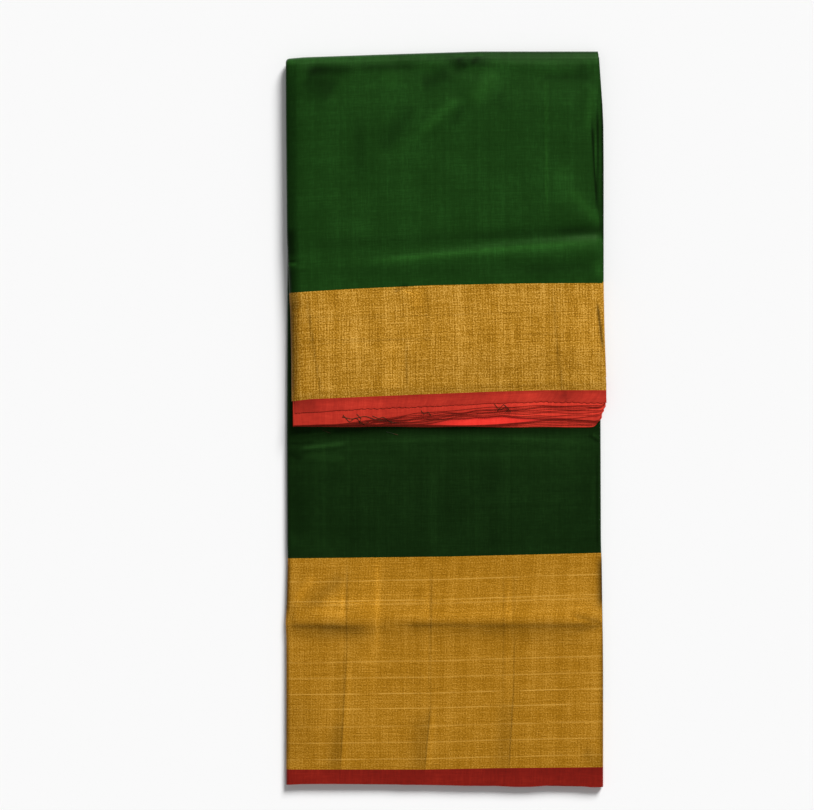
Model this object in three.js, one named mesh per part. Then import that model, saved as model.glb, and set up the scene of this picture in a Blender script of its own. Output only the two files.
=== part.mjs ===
import * as THREE from 'three';

// A silk saree as it is folded for a shelf, lying flat. The cloth was halved four times along its
// length, which gives a packet of sixteen layers, and the top third of the packet was then folded
// down over the rest. The flap's selvedges step back from each other like the pages of a bent book,
// because the outer layers have further to go round the fold.
// Millimetres. X runs across the packet, Y from the lower hem to the top fold, and Z up.
// The origin is on the underside, at the centre of the outline.

// Driving sizes.
const CLOTH_LENGTH = 5500;
const LAYERS = 16;
const PACKET_WIDTH = CLOTH_LENGTH / LAYERS;
const PACKET_LENGTH = 805;
const WALL = 1;
const GAP = 0.3;
const SELVEDGES_SHOWN = 6;
const THICKNESS = SELVEDGES_SHOWN * WALL + (SELVEDGES_SHOWN - 1) * GAP;
const HALF_LENGTH = PACKET_LENGTH / 2;
const HALF_WIDTH = PACKET_WIDTH / 2;

// The flap lies on the packet, and both hang together round the fold at the top.
const FOLD_Z = THICKNESS + GAP / 2;
const FOLD_RADIUS = FOLD_Z;
const NOSE = THICKNESS / 2;

const GREEN_SILK = { color: 0x1c3d14, roughness: 0.55, metalness: 0 };
const GOLD_ZARI = { color: 0xb5832b, roughness: 0.45, metalness: 0.5 };
const RED_SILK = { color: 0xb03024, roughness: 0.6, metalness: 0 };

// The value of a column of a table at a place along it, on straight lines between the rows.
function read(table, along, column, at) {
  const rising = table[0][along] < table[table.length - 1][along];
  const rows = rising ? table : [...table].reverse();
  if (at <= rows[0][along]) return rows[0][column];
  for (let i = 1; i < rows.length; i += 1) {
    const [before, after] = [rows[i - 1], rows[i]];
    if (at <= after[along]) {
      const share = (at - before[along]) / (after[along] - before[along]);
      return before[column] + share * (after[column] - before[column]);
    }
  }
  return rows[rows.length - 1][column];
}

// Lines that run across the packet, as y at each x.
const across = (table) => (x) => read(table, 'x', 'y', x);
const foldLine = across([
  { x: -173, y: HALF_LENGTH - 9 },
  { x: -132, y: HALF_LENGTH - 6 },
  { x: -72, y: HALF_LENGTH - 4 },
  { x: -6, y: HALF_LENGTH - 1.7 },
  { x: 37, y: HALF_LENGTH },
  { x: 167, y: HALF_LENGTH },
]);
const lowerHem = across([
  { x: -175, y: -HALF_LENGTH + 3.5 },
  { x: -6, y: -HALF_LENGTH + 2.8 },
  { x: 59, y: -HALF_LENGTH + 1.2 },
  { x: 172, y: -HALF_LENGTH },
]);
// Where the gold border of the packet begins, and where its red selvedge does.
const lowerGold = across([
  { x: -172, y: -152 },
  { x: 2, y: -150 },
  { x: 168, y: -146 },
]);
const lowerRed = across([
  { x: -175, y: -383 },
  { x: -22, y: -383 },
  { x: 52, y: -381.5 },
  { x: 172, y: -380.5 },
]);
// The same two seams on the flap.
const flapGold = across([
  { x: -170, y: 138 },
  { x: -105, y: 142 },
  { x: -17, y: 146 },
  { x: 81, y: 148 },
  { x: 172, y: 148.5 },
]);
const flapRed = across([
  { x: -168, y: 19.7 },
  { x: -149, y: 22.2 },
  { x: -29, y: 27.3 },
  { x: 56, y: 30.6 },
  { x: 106, y: 32 },
  { x: 175, y: 32 },
]);
// The selvedge of the flap's outer layer, and of the five layers that show below it.
const SELVEDGE_LINES = [
  [
    { x: -168, y: 6.6 },
    { x: -98, y: 11.2 },
    { x: -29, y: 13.9 },
    { x: 50, y: 17.7 },
    { x: 106, y: 19.5 },
    { x: 175, y: 18 },
  ],
  [
    { x: -168, y: -7 },
    { x: -121, y: -5.5 },
    { x: -60, y: 0.5 },
    { x: 0, y: 6.5 },
    { x: 43, y: 10 },
    { x: 106, y: 13 },
    { x: 175, y: 13.8 },
  ],
  [
    { x: -168, y: -7.2 },
    { x: -109, y: -5 },
    { x: -28, y: 0.5 },
    { x: 33, y: 5.6 },
    { x: 104, y: 6.6 },
    { x: 172, y: 8 },
  ],
  [
    { x: -168, y: -7.4 },
    { x: -50, y: -4.4 },
    { x: 0, y: -1.4 },
    { x: 56, y: 0.5 },
    { x: 171, y: 2.3 },
  ],
  [
    { x: -168, y: -7.6 },
    { x: -8, y: -6 },
    { x: 56, y: -5.6 },
    { x: 110, y: -3.4 },
    { x: 168, y: -4 },
  ],
  [
    { x: -168, y: -7.9 },
    { x: 60, y: -8.2 },
    { x: 132, y: -8.5 },
    { x: 163, y: -8 },
  ],
].map(across);
// How far each of those layers reaches to the right.
const SELVEDGE_RIGHTS = [175.3, 174, 172.3, 170.5, 168, 164.5];
// The lines of the packet's two soft creases: a slanting valley on the flap and a ridge below it.
const flapValley = across([
  { x: -170, y: 170 },
  { x: -83, y: 179 },
  { x: 26, y: 193 },
  { x: 103, y: 200.5 },
  { x: 172, y: 205 },
]);
const lowerCrease = across([
  { x: -175, y: -220 },
  { x: -110, y: -217 },
  { x: 172, y: -220 },
]);

// The sides, as x at each y. 'edge' is the outer layer's right edge, and 'right' the widest layer's.
const FLAP_SIDES = [
  { y: HALF_LENGTH, left: -173, edge: 166.3, right: 166.8 },
  { y: 371, left: -173, edge: 166, right: 169 },
  { y: 343, left: -172.9, edge: 165.7, right: 171 },
  { y: 321, left: -172.9, edge: 160, right: 172 },
  { y: 278, left: -172.8, edge: 161.7, right: 172.3 },
  { y: 232, left: -172.5, edge: 165.2, right: 172.3 },
  { y: 202, left: -171.7, edge: 169.5, right: 172.3 },
  { y: 149, left: -170, edge: 170.8, right: 172.3 },
  { y: 111, left: -169.4, edge: 168, right: 173 },
  { y: 76, left: -169, edge: 172.3, right: 174 },
  { y: 39, left: -168.6, edge: 175, right: 175.4 },
  { y: -8, left: -168, edge: 175.3, right: 175.5 },
];
const LOWER_SIDES = [
  { y: HALF_LENGTH, left: -173, edge: 166, right: 166.8 },
  { y: 340, left: -172.8, edge: 166.6, right: 168.5 },
  { y: 200, left: -172.3, edge: 167, right: 169 },
  { y: -14, left: -172.3, edge: 167, right: 169 },
  { y: -137, left: -172.3, edge: 167, right: 169 },
  { y: -153, left: -172.3, edge: 167.6, right: 170.1 },
  { y: -197, left: -173.9, edge: 168.6, right: 171 },
  { y: -223, left: -175.4, edge: 170, right: 171.4 },
  { y: -241, left: -174.6, edge: 170, right: 171.6 },
  { y: -276, left: -174.6, edge: 170.6, right: 172.3 },
  { y: -HALF_LENGTH, left: -174.7, edge: 171.4, right: 172.3 },
];
const side = (sides, column, y) => read(sides, 'y', column, y);

// Heights that the outer layer stands above the flat stack, in soft swells and creases.
const bell = (distance, spread) => Math.exp(-((distance / spread) ** 2));
const fade = (distance, over) => THREE.MathUtils.smoothstep(distance, 0, over);
const FLAP_PUFF = 1.5;
const VALLEY_DEPTH = 1.1;
const RIDGE_HEIGHT = 1.6;
const RIDGE_BELOW_VALLEY = 17;
function flapSwell(x, y) {
  const toSides = fade(HALF_WIDTH - Math.abs(x), 45);
  const toEnds = fade(foldLine(x) - FOLD_RADIUS - y, 60) * fade(y - flapRed(x), 50);
  const fromValley = y - flapValley(x);
  const towardsRight = fade(x + HALF_WIDTH, PACKET_WIDTH);
  const valley = -VALLEY_DEPTH * bell(fromValley, 9);
  const ridge = RIDGE_HEIGHT * bell(fromValley + RIDGE_BELOW_VALLEY, 13);
  return toSides * toEnds * (FLAP_PUFF + towardsRight * (valley + ridge));
}
const LOWER_PUFF = 1;
const CREASE_HEIGHT = 2.2;
const PRESSED_LINES = [-109.5, -17.2, 73];
const PRESSED_DEPTH = 0.7;
function lowerSwell(x, y) {
  const toSides = fade(HALF_WIDTH - Math.abs(x), 40);
  const toEnds = fade(-12 - y, 50) * fade(y - lowerHem(x), 60);
  const past = y - lowerCrease(x);
  const crease = CREASE_HEIGHT * (past > 0 ? bell(past, 40) : bell(past, 13));
  const onGold = fade(lowerGold(x) - y, 30);
  const pressed = PRESSED_LINES.reduce((sum, at) => sum + bell(x - at, 5), 0);
  return Math.max(0, toEnds * (toSides * (LOWER_PUFF + crease) - PRESSED_DEPTH * onGold * toSides * pressed));
}

// A row is a line across the cloth. place() turns x and the height h in the packet, from 0 on its
// inner face to THICKNESS on its outer face, into a point. loose says that the layer swells.
// stackFrom is the height at which the hidden layers begin.
function flapRow(line) {
  return {
    y: line,
    sides: FLAP_SIDES,
    stackFrom: 0,
    place(x, h, loose) {
      const y = line(x);
      return new THREE.Vector3(x, y, FOLD_Z + GAP / 2 + h + (loose ? flapSwell(x, y) : 0));
    },
  };
}
function lowerRow(line) {
  return {
    y: line,
    sides: LOWER_SIDES,
    stackFrom: WALL + GAP,
    place(x, h, loose) {
      const y = line(x);
      return new THREE.Vector3(x, y, THICKNESS - h + (loose ? lowerSwell(x, y) : 0));
    },
  };
}
const turnStart = (x) => foldLine(x) - FOLD_RADIUS;
function turnRow(angle) {
  return {
    y: () => HALF_LENGTH,
    sides: FLAP_SIDES,
    stackFrom: 0,
    place(x, h) {
      const radius = GAP / 2 + h;
      const y = turnStart(x) + radius * Math.cos(angle);
      return new THREE.Vector3(x, y, FOLD_Z + radius * Math.sin(angle));
    },
  };
}
const between = (from, to, share) => (x) => from(x) + share * (to(x) - from(x));
const shifted = (line, by) => (x) => line(x) + by;
const rowsBetween = (makeRow, from, to, shares) => shares.map((s) => makeRow(between(from, to, s)));

// A closed solid between an upper and a lower grid of points, where i runs to the right and j up
// the cloth. rims holds more rings of points between the two, for the layers that show at the edge.
function slab(columns, rows, upper, lower, rims = []) {
  const positions = [];
  const add = (point) => positions.push(point.x, point.y, point.z) / 3 - 1;
  const grid = (at) =>
    Array.from({ length: rows }, (_, j) => Array.from({ length: columns }, (__, i) => add(at(i, j))));
  const [top, bottom] = [grid(upper), grid(lower)];
  const around = [];
  for (let i = 0; i < columns - 1; i += 1) around.push([i, 0]);
  for (let j = 0; j < rows - 1; j += 1) around.push([columns - 1, j]);
  for (let i = columns - 1; i > 0; i -= 1) around.push([i, rows - 1]);
  for (let j = rows - 1; j > 0; j -= 1) around.push([0, j]);
  const faces = [];
  const quad = (a, b, c, d) => faces.push(a, b, c, a, c, d);
  for (let j = 0; j < rows - 1; j += 1) {
    for (let i = 0; i < columns - 1; i += 1) {
      quad(top[j][i], top[j][i + 1], top[j + 1][i + 1], top[j + 1][i]);
      quad(bottom[j + 1][i], bottom[j + 1][i + 1], bottom[j][i + 1], bottom[j][i]);
    }
  }
  const rings = [
    around.map(([i, j]) => top[j][i]),
    ...rims.map((rim) => around.map(([i, j]) => add(rim(i, j)))),
    around.map(([i, j]) => bottom[j][i]),
  ];
  rings.slice(1).forEach((ring, r) => {
    ring.forEach((point, k) => {
      const next = (k + 1) % ring.length;
      quad(rings[r][k], point, ring[next], rings[r][next]);
    });
  });
  const geometry = new THREE.BufferGeometry();
  geometry.setAttribute('position', new THREE.Float32BufferAttribute(positions, 3));
  geometry.setIndex(faces);
  return geometry;
}

// The packet's outer cloth in cross-section, from under the packet round the left side, where the
// last halving turned it, to the right edge of the upper face.
const NOSE_STEPS = 6;
function section(underFace, underShares, upperFace, upperShares) {
  const turns = Array.from({ length: NOSE_STEPS - 1 }, (_, k) => (Math.PI * (k + 1)) / NOSE_STEPS);
  const nose = turns.map((angle) => ({ angle: underFace === 'inner' ? Math.PI - angle : angle }));
  return [
    ...underShares.map((share) => ({ share, face: underFace })),
    ...nose,
    ...upperShares.map((share) => ({ share, face: upperFace, loose: true })),
  ];
}
function wrap(rows, nodes) {
  const at = (depth) => (i, j) => {
    const row = rows[j];
    const node = nodes[i];
    const left = side(row.sides, 'left', row.y(-HALF_WIDTH));
    if (node.angle !== undefined) {
      const radius = NOSE - depth;
      const x = left + NOSE - radius * Math.sin(node.angle);
      return row.place(x, NOSE + radius * Math.cos(node.angle));
    }
    const edge = side(row.sides, 'edge', row.y(HALF_WIDTH));
    const x = left + NOSE + node.share * (edge - left - NOSE);
    return row.place(x, node.face === 'outer' ? THICKNESS - depth : depth, node.loose);
  };
  return slab(nodes.length, rows.length, at(0), at(WALL));
}

// The flap's outer layer: green silk that goes on round the fold, gold border and red selvedge.
const FLAP_SHARES = [0, 0.06, 0.13, 0.22, 0.32, 0.42, 0.52, 0.62, 0.72, 0.81, 0.89, 0.95, 1];
const TURN_STEPS = 8;
const turnAngles = Array.from({ length: TURN_STEPS }, (_, k) => Math.PI * (0.5 - (k + 1) / TURN_STEPS));
const flapSection = section('inner', [0], 'outer', FLAP_SHARES);
function flapField() {
  return wrap(
    [
      ...rowsBetween(flapRow, shifted(flapGold, GAP), flapValley, [0, 0.25, 0.5, 0.7, 0.86]),
      ...rowsBetween(flapRow, flapValley, turnStart, [0, 0.06, 0.16, 0.34, 0.54, 0.74, 0.9, 1]),
      ...turnAngles.map(turnRow),
    ],
    flapSection,
  );
}
function flapBorder() {
  return wrap(rowsBetween(flapRow, shifted(flapRed, GAP), flapGold, [0, 0.12, 0.3, 0.5, 0.75, 1]), flapSection);
}

// A flat layer at one height of the flap. The outer one ends at its seam with the gold, and those
// below it go on under the gold to a straight line, beside the outer layer that turns under there.
const TAIL_END = 46;
const tailLine = () => TAIL_END;
const SELVEDGE_SHARES = [0, 0.06, 0.13, 0.22, 0.35, 0.5, 0.65, 0.8, 0.9, 1];
function selvedgeLayer(order) {
  const level = FOLD_Z + GAP / 2 + THICKNESS - order * (WALL + GAP);
  const hem = SELVEDGE_LINES[order];
  const shown = [hem, between(hem, flapRed, 0.5), order === 0 ? flapRed : shifted(flapRed, -GAP)];
  const lines = order === 0 ? shown : [...shown, flapRed, tailLine];
  const at = (z) => (i, j) => {
    const inset = j < shown.length ? 0 : NOSE + GAP;
    const left = side(FLAP_SIDES, 'left', lines[j](-HALF_WIDTH)) + inset;
    const x = left + SELVEDGE_SHARES[i] * (SELVEDGE_RIGHTS[order] - left);
    return new THREE.Vector3(x, lines[j](x), z);
  };
  return slab(SELVEDGE_SHARES.length, lines.length, at(level), at(level - WALL));
}

// The packet's outer layer all round: a wrap that is flat underneath, where it rests. Three points
// of its upper face stand close together at each pressed line.
const PRESSED_SHARES = PRESSED_LINES.map((x) => x / PACKET_WIDTH + 0.5);
const LOWER_SHARES = [
  ...[0, 0.05, 0.11, 0.3, 0.38, 0.57, 0.64, 0.81, 0.88, 0.94, 1],
  ...PRESSED_SHARES.flatMap((share) => [share - 0.02, share, share + 0.02]),
].sort((a, b) => a - b);
const UNDER_SHARES = [1, 0];
const lowerSection = section('outer', UNDER_SHARES, 'inner', LOWER_SHARES);
function lowerField() {
  const flapHem = SELVEDGE_LINES[SELVEDGES_SHOWN - 1];
  return wrap(
    [
      ...rowsBetween(lowerRow, shifted(lowerGold, GAP), flapHem, [0, 0.3, 0.6, 0.85, 1]),
      ...rowsBetween(lowerRow, flapHem, shifted(turnStart, -2 * GAP), [0.2, 0.5, 0.8, 1]),
    ],
    lowerSection,
  );
}
function lowerBorder() {
  return wrap(
    [
      ...rowsBetween(lowerRow, shifted(lowerRed, GAP), lowerCrease, [0, 0.2, 0.45, 0.7, 0.85, 0.92, 0.97]),
      ...rowsBetween(lowerRow, lowerCrease, lowerGold, [0, 0.12, 0.4, 0.7, 1]),
    ],
    lowerSection,
  );
}
function lowerSelvedge() {
  return wrap(rowsBetween(lowerRow, lowerHem, lowerRed, [0, 0.5, 1]), lowerSection);
}

// The hidden layers are one solid, from behind the flap's red, round the fold and down to the hem.
// At its right side and its hem, the folded edges of eight, four, two and two layers stand out as
// lips. Its left side is round, inside the outer layer.
const LIPS = [8, 4, 2, 2];
const LIP_GROOVE = 2.6;
const LIP_ROUND = 1;
const RINGS = 3 * LIPS.length - 1;
const STACK_TOP = THICKNESS - WALL - GAP;
const STACK_SHARES = [0, 0.11, 0.29, 0.485, 0.615, 1];
// Each ring's inset from the side and its height, from the inner face of the packet outwards.
function lipRings(from) {
  const rings = [];
  let level = from;
  LIPS.forEach((layers, k) => {
    const thick = ((STACK_TOP - from) * layers) / LAYERS;
    if (k > 0) rings.push({ inset: LIP_GROOVE, h: level });
    rings.push({ inset: 0, h: level + 0.25 * thick }, { inset: 0, h: level + 0.75 * thick });
    level += thick;
  });
  return rings;
}
function noseRings(from) {
  const besideWall = from === 0 ? [{ inset: NOSE + GAP, h: WALL + GAP }] : [];
  const steps = RINGS - besideWall.length;
  const radius = NOSE - WALL - GAP;
  const round = Array.from({ length: steps }, (_, k) => {
    const angle = Math.PI * (1 - (k + 1) / (steps + 1));
    return { inset: NOSE - radius * Math.sin(angle), h: NOSE + radius * Math.cos(angle) };
  });
  return [...besideWall, ...round];
}
function flatRings(from) {
  const level = (k) => from + ((STACK_TOP - from) * (k + 1)) / (RINGS + 1);
  return Array.from({ length: RINGS }, (_, k) => ({ inset: 0, h: level(k) }));
}
// Straight rows wherever the side's course changes, between two places.
function sideRows(makeRow, sides, from, to) {
  const rising = sides.map(({ y }) => y).sort((a, b) => a - b);
  return rising.filter((y) => y > from && y < to).map((y) => makeRow(() => y));
}
function innerLayers() {
  const foldEnd = HALF_LENGTH - 2 * FOLD_RADIUS;
  const rows = [
    flapRow(shifted(tailLine, GAP)),
    ...sideRows(flapRow, FLAP_SIDES, TAIL_END + 1, foldEnd),
    flapRow(turnStart),
    ...turnAngles.map(turnRow),
    lowerRow(shifted(turnStart, -GAP)),
    ...sideRows(lowerRow, LOWER_SIDES, FOLD_RADIUS - HALF_LENGTH, foldEnd).reverse(),
    lowerRow(lowerHem),
  ];
  const lastRow = rows.length - 1;
  const lastColumn = STACK_SHARES.length - 1;
  const spot = (i, j, h, left, right, hem) => {
    const row = rows[j];
    const leftmost = side(row.sides, 'left', row.y(-HALF_WIDTH)) + left;
    const rightmost = side(row.sides, 'right', row.y(HALF_WIDTH)) - right;
    const point = row.place(leftmost + STACK_SHARES[i] * (rightmost - leftmost), h);
    if (j === lastRow) point.y += hem;
    return point;
  };
  const outerFace = (i, j) => spot(i, j, STACK_TOP, NOSE, LIP_ROUND, LIP_ROUND);
  const innerFace = (i, j) => {
    const from = rows[j].stackFrom;
    return spot(i, j, from, from === 0 ? NOSE + GAP : NOSE, LIP_ROUND, LIP_ROUND);
  };
  const rim = (k) => (i, j) => {
    const from = rows[j].stackFrom;
    const [lip, nose, flat] = [lipRings(from)[k], noseRings(from)[k], flatRings(from)[k]];
    if (i === 0) return spot(i, j, nose.h, nose.inset, 0, LIP_ROUND);
    if (i === lastColumn) return spot(i, j, lip.h, NOSE, lip.inset, lip.inset);
    return j === lastRow ? spot(i, j, lip.h, NOSE, 0, lip.inset) : spot(i, j, flat.h, NOSE, 0, 0);
  };
  const rims = Array.from({ length: RINGS }, (_, k) => rim(k)).reverse();
  return slab(STACK_SHARES.length, rows.length, outerFace, innerFace, rims);
}

const saree = new THREE.Group();
function add(name, geometry, finish) {
  const mesh = new THREE.Mesh(geometry, new THREE.MeshStandardMaterial(finish));
  mesh.name = name;
  saree.add(mesh);
}
add('flap_field', flapField(), GREEN_SILK);
add('flap_border', flapBorder(), GOLD_ZARI);
add('flap_selvedge', selvedgeLayer(0), RED_SILK);
for (let order = 1; order < SELVEDGES_SHOWN; order += 1) {
  add(`inner_selvedge_${order}`, selvedgeLayer(order), RED_SILK);
}
add('lower_field', lowerField(), GREEN_SILK);
add('lower_border', lowerBorder(), GOLD_ZARI);
add('lower_selvedge', lowerSelvedge(), RED_SILK);
add('inner_layers', innerLayers(), GREEN_SILK);

export default saree;
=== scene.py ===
# %% [markdown]
# A folded silk saree.
# A saree is one strip of woven silk, here green with a gold border and red selvedges. It was halved
# four times along its length, which makes a packet of sixteen layers, and the packet's upper third
# was turned down over the rest. This lesson folds the cloth the same way: each piece starts as a
# flat grid of cloth, and every point of it is moved to its place in the fold.

# %% Load the fixed frame
import math

import bmesh
import bpy
import numpy as np
from mathutils import Matrix, Vector


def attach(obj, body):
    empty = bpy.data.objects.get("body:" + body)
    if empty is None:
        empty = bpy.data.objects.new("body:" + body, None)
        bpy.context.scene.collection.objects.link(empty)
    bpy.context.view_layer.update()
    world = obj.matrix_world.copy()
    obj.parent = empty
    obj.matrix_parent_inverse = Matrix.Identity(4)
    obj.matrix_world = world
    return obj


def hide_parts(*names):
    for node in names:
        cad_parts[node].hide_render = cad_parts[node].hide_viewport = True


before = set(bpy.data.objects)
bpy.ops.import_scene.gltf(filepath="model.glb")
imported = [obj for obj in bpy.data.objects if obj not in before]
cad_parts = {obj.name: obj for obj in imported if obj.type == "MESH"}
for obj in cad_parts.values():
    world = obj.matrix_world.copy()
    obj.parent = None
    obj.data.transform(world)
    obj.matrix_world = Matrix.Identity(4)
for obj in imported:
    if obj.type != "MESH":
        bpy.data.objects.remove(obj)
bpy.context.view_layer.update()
MM = 0.001
print("frame loaded:", ", ".join(sorted(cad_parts)))

# %% [markdown]
# The camera looks straight down on the packet, as the photographer's did, through a long lens so
# that both ends are seen from nearly above.

# %% Camera
VIEW_WIDTH = 0.889
CAMERA_HEIGHT = 2.4
VIEW_CENTRE = Vector((-0.0423, 0.0158, 0.0))
camera_data = bpy.data.cameras.new("camera")
camera_data.sensor_width = 36
camera_data.lens = camera_data.sensor_width * CAMERA_HEIGHT / VIEW_WIDTH
camera = bpy.data.objects.new("camera", camera_data)
camera.location = VIEW_CENTRE + Vector((0, 0, CAMERA_HEIGHT + 0.012))
bpy.context.scene.collection.objects.link(camera)
bpy.context.scene.camera = camera
print("camera lens", round(camera_data.lens, 1), "mm")

# %% [markdown]
# Silk shows its folds by gleam, so the light is one broad, low source beyond the top fold, like a
# window, with a soft pale room round it. A sun lamp with a wide angle gives the same light all over
# the floor, which keeps the floor evenly pale.

# %% Light
scene = bpy.context.scene
scene.view_settings.view_transform = "Standard"


def add_sun(name, elevation, heading, strength, width):
    """A sun lamp, its angles in degrees. The heading turns it from beyond the top fold towards +X."""
    rise, turned = math.radians(elevation), math.radians(heading)
    lamp = bpy.data.lights.new(name, "SUN")
    lamp.energy = strength
    lamp.angle = math.radians(width)
    sun = bpy.data.objects.new(name, lamp)
    toward = Vector(
        (
            math.cos(rise) * math.sin(turned),
            math.cos(rise) * math.cos(turned),
            math.sin(rise),
        )
    )
    sun.rotation_euler = toward.to_track_quat("Z", "Y").to_euler()
    scene.collection.objects.link(sun)


add_sun("window", elevation=32, heading=26, strength=4.5, width=24)
add_sun("room_fill", elevation=75, heading=200, strength=0.25, width=60)
world = bpy.data.worlds.new("pale_room")
scene.world = world
world.use_nodes = True
room = world.node_tree.nodes["Background"]
room.inputs["Color"].default_value = (1, 1, 1, 1)
room.inputs["Strength"].default_value = 0.22
print("lamps:", ", ".join(f"{lamp.name} {lamp.energy:.2f} W/m2" for lamp in bpy.data.lights))

# %% [markdown]
# Materials are built from nodes. One small function adds a node, sets it and links it, and one turns
# the colours, which are written as on a screen, to the linear values that the renderer works in.


# %% Material helpers
def linear(hex_colour):
    """A colour such as #1c3d14 as linear red, green, blue and alpha."""
    values = [int(hex_colour[i : i + 2], 16) / 255 for i in (1, 3, 5)]
    return tuple(v / 12.92 if v <= 0.04045 else ((v + 0.055) / 1.055) ** 2.4 for v in values) + (1.0,)


def node(tree, kind, settings=None, **links):
    """Adds a node. Settings are its properties. Each link is an input's value, or a node or socket."""
    new = tree.nodes.new(kind)
    for name, value in (settings or {}).items():
        setattr(new, name, value)
    for name, value in links.items():
        socket = new.inputs[int(name[2:]) if name.startswith("in") else name.replace("_", " ")]
        if isinstance(value, bpy.types.Node):
            value = value.outputs[0]
        if isinstance(value, bpy.types.NodeSocket):
            tree.links.new(value, socket)
        else:
            socket.default_value = value
    return new


def new_material(name):
    """A new material with its node tree and its shader."""
    material = bpy.data.materials.new(name)
    material.use_nodes = True
    tree = material.node_tree
    return material, tree, tree.nodes["Principled BSDF"]


print("screen mid grey is", round(linear("#808080")[0], 3), "in linear light")

# %% [markdown]
# The floor is a plain pale board, well beyond the view on every side. One face is enough, because
# only its soft shadow shows.

# %% Floor
FLOOR_SIZE = 6.0
# A hair below the cloth, so that the two never share one plane.
FLOOR_DROP = 0.4 * MM
floor_material, _, paint = new_material("painted_white_board")
paint.inputs["Base Color"].default_value = linear("#f4f4f4")
paint.inputs["Roughness"].default_value = 0.9
paint.inputs["Specular IOR Level"].default_value = 0.1
board = bmesh.new()
bmesh.ops.create_grid(board, x_segments=1, y_segments=1, size=FLOOR_SIZE / 2)
bmesh.ops.translate(board, vec=(0, 0, -FLOOR_DROP), verts=board.verts)
floor_mesh = bpy.data.meshes.new("floor")
board.to_mesh(floor_mesh)
board.free()
floor_mesh.materials.append(floor_material)
floor = bpy.data.objects.new("floor", floor_mesh)
scene.collection.objects.link(floor)
print("floor", FLOOR_SIZE, "m wide")

# %% [markdown]
# The sizes of the folded packet repeat the frame's, in millimetres. A height h runs through the
# packet from 0 on its inner face to THICK on its outer face. The flap lies with its outer face up,
# and the packet under it with its inner face up, because the fold turned it over.

# %% Sizes of the packet
PLIES = 16
THICK = 7.5
GAP = 0.3
HALF_LENGTH = 402.5
HALF_WIDTH = 171.875
FOLD_Z = THICK + GAP / 2
FOLD_RADIUS = FOLD_Z
NOSE = THICK / 2
# Silk is about 0.15 mm thick. The sheet is drawn a little thicker, so that its cut edges show.
CLOTH_SHELL = 0.34
PITCH = (THICK - CLOTH_SHELL) / (PLIES - 1)


def ply_height(ply):
    """The height of the middle of a ply in the packet, from 0, innermost, to 15, outermost."""
    return CLOTH_SHELL / 2 + ply * PITCH


print("one ply every", round(PITCH, 2), "mm")

# %% [markdown]
# The hems and the borders' edges aren't straight. Hands folded the cloth, so each line wanders a few
# millimetres. A line is given by a few points, and np.interp joins them, which is easier to set
# against the real object than a curve. The flap's selvedges are listed from the outer one inwards.


# %% Lines across the cloth
def across(*points):
    """A line across the packet: y at each x, through (x, y) points."""
    xs, ys = zip(*points)
    return lambda x: np.interp(x, xs, ys)


fold_line = across(
    (-173, 394.6), (-155, 396.2), (-132, 397), (-72, 399.1), (-6, 401.2), (37, 402.5), (167, 402.5)
)
# The lower hem is a little wavy.
lower_hem = across(
    (-175, -399.9), (-155, -398.9), (-67, -398.9), (-45, -399.8), (-15, -399.8), (20, -400.9), (55, -401),
    (75, -402.1), (92, -402.1), (108, -401), (125, -400.1), (142, -401), (160, -402.5), (172, -402.4)
)
lower_gold = across((-172, -152), (2, -150), (168, -146))
lower_red = across((-175, -383), (-22, -383), (52, -381.5), (172, -380.5))
flap_gold = across((-170, 138), (-105, 142), (-17, 146), (81, 148), (172, 148.5))
flap_red = across((-168, 19.7), (-149, 22.2), (-29, 27.3), (56, 30.6), (106, 32), (175, 32))
SELVEDGE_LINES = [
    across((-168, 6.6), (-98, 11.2), (-29, 13.9), (50, 17.7), (106, 19.5), (175, 18)),
    across((-168, -7), (-121, -5.5), (-60, 0.5), (0, 6.5), (43, 10), (106, 13), (175, 13.8)),
    across((-168, -7.2), (-109, -5), (-28, 0.5), (33, 5.6), (104, 6.6), (172, 8)),
    across((-168, -7.4), (-50, -4.4), (0, -1.4), (56, 0.5), (171, 2.3)),
    across((-168, -7.6), (-8, -6), (56, -5.6), (110, -3.4), (168, -4)),
    across((-168, -7.9), (60, -8.2), (132, -8.5), (163, -8)),
]
SELVEDGE_RIGHTS = [175.3, 175.2, 174.6, 173.2, 170.8, 166.8]
TAIL_END = 46
flap_valley = across((-170, 170), (-83, 179), (26, 193), (103, 200.5), (172, 205))
lower_crease = across((-175, -220), (-110, -217), (172, -220))
print("the packet is", float(fold_line(0) - lower_hem(0)), "mm long at its middle")

# %% [markdown]
# The sides aren't straight either. For the flap and for the packet there is a left side, the edge of
# the outer layer at the right, and the right side of the layers behind it, which reach further.


# %% Side edges
def down(ys, xs):
    """A line down the packet: x at each y."""
    return lambda y: np.interp(y, ys, xs)


SIDE_YS = (-8, 39, 76, 111, 149, 202, 232, 278, 321, 343, 371, 402.5)
FLAP_LEFT = (-168, -168.6, -169, -169.6, -171.4, -173.6, -173.8, -174.2, -174.6, -174.8, -174.9, -174.8)
FLAP_EDGE = (175.3, 175, 172.3, 168, 170.8, 169.5, 165.2, 161.7, 160, 165.7, 166, 166.3)
FLAP_RIGHT = (175.5, 175.4, 174, 173, 172.3, 172.3, 172.3, 172.3, 172, 171, 169, 166.8)
LOWER_YS = (-402.5, -276, -241, -223, -197, -153, -137, -14, 200, 340, 402.5)
LOWER_LEFT = (-174.8, -174.6, -174.6, -175.4, -174.2, -173.2, -173.6, -174, -173.2, -173.4, -174)
LOWER_EDGE = (171.4, 170.6, 170, 170, 168.6, 167.6, 167, 167, 167, 166.6, 166)
LOWER_RIGHT = (172.6, 172.6, 172.3, 172, 171.6, 171, 170.2, 169.8, 169, 168.5, 166.8)
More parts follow.
